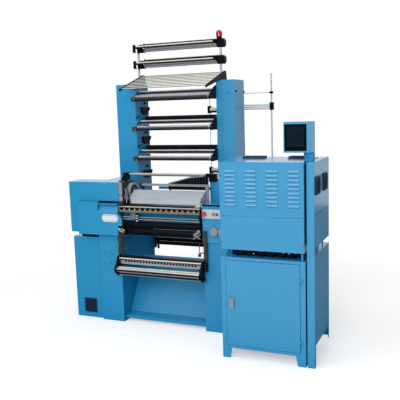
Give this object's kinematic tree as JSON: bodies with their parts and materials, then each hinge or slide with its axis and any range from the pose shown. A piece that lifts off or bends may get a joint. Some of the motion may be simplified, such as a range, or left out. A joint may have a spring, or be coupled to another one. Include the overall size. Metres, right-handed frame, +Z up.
{
  "type": "crochet knitting machine",
  "caption": "Floor-standing crochet knitting machine with a yarn feed tower, a grooved needle bed, take-down and delivery rollers and a separate control cabinet.",
  "frame": {"origin": "centre of the footprint's box, on the floor", "axes": "+X to the operator's right, +Y to the back, +Z up; the operator stands at -Y"},
  "size_m": [1.996, 0.998, 2.153],
  "materials": {
    "blue_paint": "smooth semi-gloss powder coat",
    "black_paint": "satin black enamel",
    "white_plate": "satin white",
    "cast_grey": "fine cast and machined",
    "bright_rods": "polished",
    "satin_steel": "satin",
    "cover_steel": "fine brushed sheet",
    "bed_steel": "ground, oiled",
    "tan_steel": "zinc yellow passivated",
    "red_lens": "clear ribbed lens",
    "black_plastic": "fine moulded",
    "zinc_screws": "zinc plated",
    "roller_steel": "turned",
    "chrome_roller": "hard chrome",
    "black_rubber": "ground rubber cover",
    "rack_aluminium": "drawn tube",
    "pale_steel": "turned",
    "oiled_steel": "blackened and oiled",
    "needle_steel": "polished",
    "latch_chrome": "satin chrome",
    "red_plastic": "moulded",
    "green_plastic": "moulded",
    "amber_plastic": "moulded"
  },
  "bodies": {
    "frame": {"left_side_frame": "blue_paint", "right_side_frame": "blue_paint", "left_tower_column": "blue_paint", "right_tower_column": "blue_paint", "motor_cabinet": "blue_paint", "left_drive_box": "blue_paint", "left_front_cover": "blue_paint", "right_drive_box": "blue_paint", "right_front_cover": "blue_paint", "main_beam": "blue_paint", "cloth_chute": "blue_paint", "upper_cabinet": "blue_paint", "louvre_panel": "blue_paint", "side_cabinet": "blue_paint", "lower_cabinet": "blue_paint", "control_panel": "white_plate", "shaft_caps": "cast_grey", "bearing_blocks": "black_paint", "rack_brackets": "black_paint", "dark_spacers": "black_paint", "takedown_frame": "black_paint", "reed_comb": "black_paint", "tie_rods": "bright_rods", "rack_posts": "satin_steel", "beacon_lens": "red_lens", "cam_housing": "cast_grey", "guide_frame": "satin_steel", "needle_bed": "bed_steel", "mechanism_cover": "cover_steel", "steel_brackets": "tan_steel", "delivery_comb": "satin_steel", "fan_frames": "black_plastic", "screws": "zinc_screws"},
    "feed_roller_top": {"feed_roller_top": "roller_steel"},
    "nip_roller_top": {"nip_roller_top": "chrome_roller"},
    "feed_roller_middle": {"feed_roller_middle": "roller_steel"},
    "nip_roller_middle": {"nip_roller_middle": "chrome_roller"},
    "back_roller_middle": {"back_roller_middle": "black_rubber"},
    "feed_roller_low": {"feed_roller_low": "roller_steel"},
    "nip_roller_low": {"nip_roller_low": "chrome_roller"},
    "back_roller_low": {"back_roller_low": "black_rubber"},
    "rack_roller_top": {"rack_roller_top": "rack_aluminium"},
    "rack_roller_low": {"rack_roller_low": "rack_aluminium"},
    "warp_roller": {"warp_roller": "pale_steel"},
    "cam_shaft": {"cam_shaft": "oiled_steel"},
    "needle_bar": {"needle_bar": "needle_steel"},
    "weft_bar": {"weft_bar": "needle_steel"},
    "takedown_roller_upper": {"takedown_roller_upper": "black_rubber"},
    "takedown_roller_lower": {"takedown_roller_lower": "black_rubber"},
    "delivery_roller_front": {"delivery_roller_front": "chrome_roller"},
    "delivery_roller_rear": {"delivery_roller_rear": "chrome_roller"},
    "rear_roller": {"rear_roller": "black_rubber"},
    "cabinet_door": {"cabinet_door": "blue_paint"},
    "door_latch": {"door_latch": "latch_chrome"},
    "display_unit": {"display_unit": "blue_paint"},
    "stop_mushroom": {"stop_mushroom": "red_plastic"},
    "start_button": {"start_button": "green_plastic"},
    "pause_button": {"pause_button": "amber_plastic"},
    "fan_rotor_front": {"fan_rotor_front": "black_plastic"},
    "fan_rotor_rear": {"fan_rotor_rear": "black_plastic"}
  },
  "joints": [
    {"name": "feed_top_turn", "type": "hinge", "parent": "frame", "child": "feed_roller_top", "pos_m": [-0.231, 0.147, 1.678], "axis": [1, 0, 0], "continuous": true},
    {"name": "nip_top_turn", "type": "hinge", "parent": "frame", "child": "nip_roller_top", "pos_m": [-0.231, 0.242, 1.72], "axis": [1, 0, 0], "continuous": true},
    {"name": "feed_middle_turn", "type": "hinge", "parent": "frame", "child": "feed_roller_middle", "pos_m": [-0.231, 0.147, 1.455], "axis": [1, 0, 0], "continuous": true},
    {"name": "nip_middle_turn", "type": "hinge", "parent": "frame", "child": "nip_roller_middle", "pos_m": [-0.231, 0.242, 1.497], "axis": [1, 0, 0], "continuous": true},
    {"name": "back_middle_turn", "type": "hinge", "parent": "frame", "child": "back_roller_middle", "pos_m": [-0.231, 0.337, 1.524], "axis": [1, 0, 0], "continuous": true},
    {"name": "feed_low_turn", "type": "hinge", "parent": "frame", "child": "feed_roller_low", "pos_m": [-0.231, 0.147, 1.229], "axis": [1, 0, 0], "continuous": true},
    {"name": "nip_low_turn", "type": "hinge", "parent": "frame", "child": "nip_roller_low", "pos_m": [-0.231, 0.242, 1.271], "axis": [1, 0, 0], "continuous": true},
    {"name": "back_low_turn", "type": "hinge", "parent": "frame", "child": "back_roller_low", "pos_m": [-0.231, 0.337, 1.298], "axis": [1, 0, 0], "continuous": true},
    {"name": "rack_top_turn", "type": "hinge", "parent": "frame", "child": "rack_roller_top", "pos_m": [-0.231, 0.31, 2.048], "axis": [1, 0, 0], "continuous": true},
    {"name": "rack_low_turn", "type": "hinge", "parent": "frame", "child": "rack_roller_low", "pos_m": [-0.231, 0.31, 1.928], "axis": [1, 0, 0], "continuous": true},
    {"name": "warp_turn", "type": "hinge", "parent": "frame", "child": "warp_roller", "pos_m": [-0.231, 0.075, 1.112], "axis": [1, 0, 0], "continuous": true},
    {"name": "cam_turn", "type": "hinge", "parent": "frame", "child": "cam_shaft", "pos_m": [-0.231, 0.02, 0.985], "axis": [1, 0, 0], "continuous": true},
    {"name": "needle_stroke", "type": "slide", "parent": "frame", "child": "needle_bar", "axis": [0, -1, 0], "range_m": [0, 0.018]},
    {"name": "weft_shog", "type": "slide", "parent": "frame", "child": "weft_bar", "axis": [1, 0, 0], "range_m": [-0.019, 0.019]},
    {"name": "takedown_upper_turn", "type": "hinge", "parent": "frame", "child": "takedown_roller_upper", "pos_m": [-0.231, -0.073, 0.755], "axis": [1, 0, 0], "continuous": true},
    {"name": "takedown_lower_turn", "type": "hinge", "parent": "frame", "child": "takedown_roller_lower", "pos_m": [-0.231, -0.073, 0.7035], "axis": [1, 0, 0], "continuous": true},
    {"name": "delivery_front_turn", "type": "hinge", "parent": "frame", "child": "delivery_roller_front", "pos_m": [-0.231, -0.183, 0.432], "axis": [1, 0, 0], "continuous": true},
    {"name": "delivery_rear_turn", "type": "hinge", "parent": "frame", "child": "delivery_roller_rear", "pos_m": [-0.231, -0.148, 0.4], "axis": [1, 0, 0], "continuous": true},
    {"name": "rear_turn", "type": "hinge", "parent": "frame", "child": "rear_roller", "pos_m": [-0.231, 0.473, 0.5], "axis": [1, 0, 0], "continuous": true},
    {"name": "door_swing", "type": "hinge", "parent": "frame", "child": "cabinet_door", "pos_m": [0.904, -0.487, 0.365], "axis": [0, 0, 1], "range_deg": [0, 110]},
    {"name": "latch_turn", "type": "hinge", "parent": "cabinet_door", "child": "door_latch", "pos_m": [0.46, -0.483, 0.367], "axis": [0, 1, 0], "range_deg": [0, 90]},
    {"name": "display_swivel", "type": "hinge", "parent": "frame", "child": "display_unit", "pos_m": [0.936, -0.38, 1.3], "axis": [0, 0, 1], "range_deg": [-60, 60]},
    {"name": "stop_push", "type": "slide", "parent": "frame", "child": "stop_mushroom", "axis": [0, 1, 0], "range_m": [0, 0.004], "stiffness_N_per_m": 900, "springref_m": -0.002},
    {"name": "start_push", "type": "slide", "parent": "frame", "child": "start_button", "axis": [0, 1, 0], "range_m": [0, 0.004], "stiffness_N_per_m": 600, "springref_m": -0.002},
    {"name": "pause_push", "type": "slide", "parent": "frame", "child": "pause_button", "axis": [0, 1, 0], "range_m": [0, 0.004], "stiffness_N_per_m": 600, "springref_m": -0.002},
    {"name": "fan_front_turn", "type": "hinge", "parent": "frame", "child": "fan_rotor_front", "pos_m": [0.977, -0.41, 1.117], "axis": [1, 0, 0], "continuous": true},
    {"name": "fan_rear_turn", "type": "hinge", "parent": "frame", "child": "fan_rotor_rear", "pos_m": [0.977, -0.201, 1.117], "axis": [1, 0, 0], "continuous": true}
  ],
  "couplings": [
    {"joint": "nip_top_turn", "follows": "feed_top_turn", "ratio": -1.4839},
    {"joint": "nip_middle_turn", "follows": "feed_middle_turn", "ratio": -1.1613},
    {"joint": "back_middle_turn", "follows": "feed_middle_turn", "ratio": 0.97297},
    {"joint": "nip_low_turn", "follows": "feed_low_turn", "ratio": -1.1613},
    {"joint": "back_low_turn", "follows": "feed_low_turn", "ratio": 0.97297},
    {"joint": "takedown_lower_turn", "follows": "takedown_upper_turn", "ratio": -1}
  ]
}
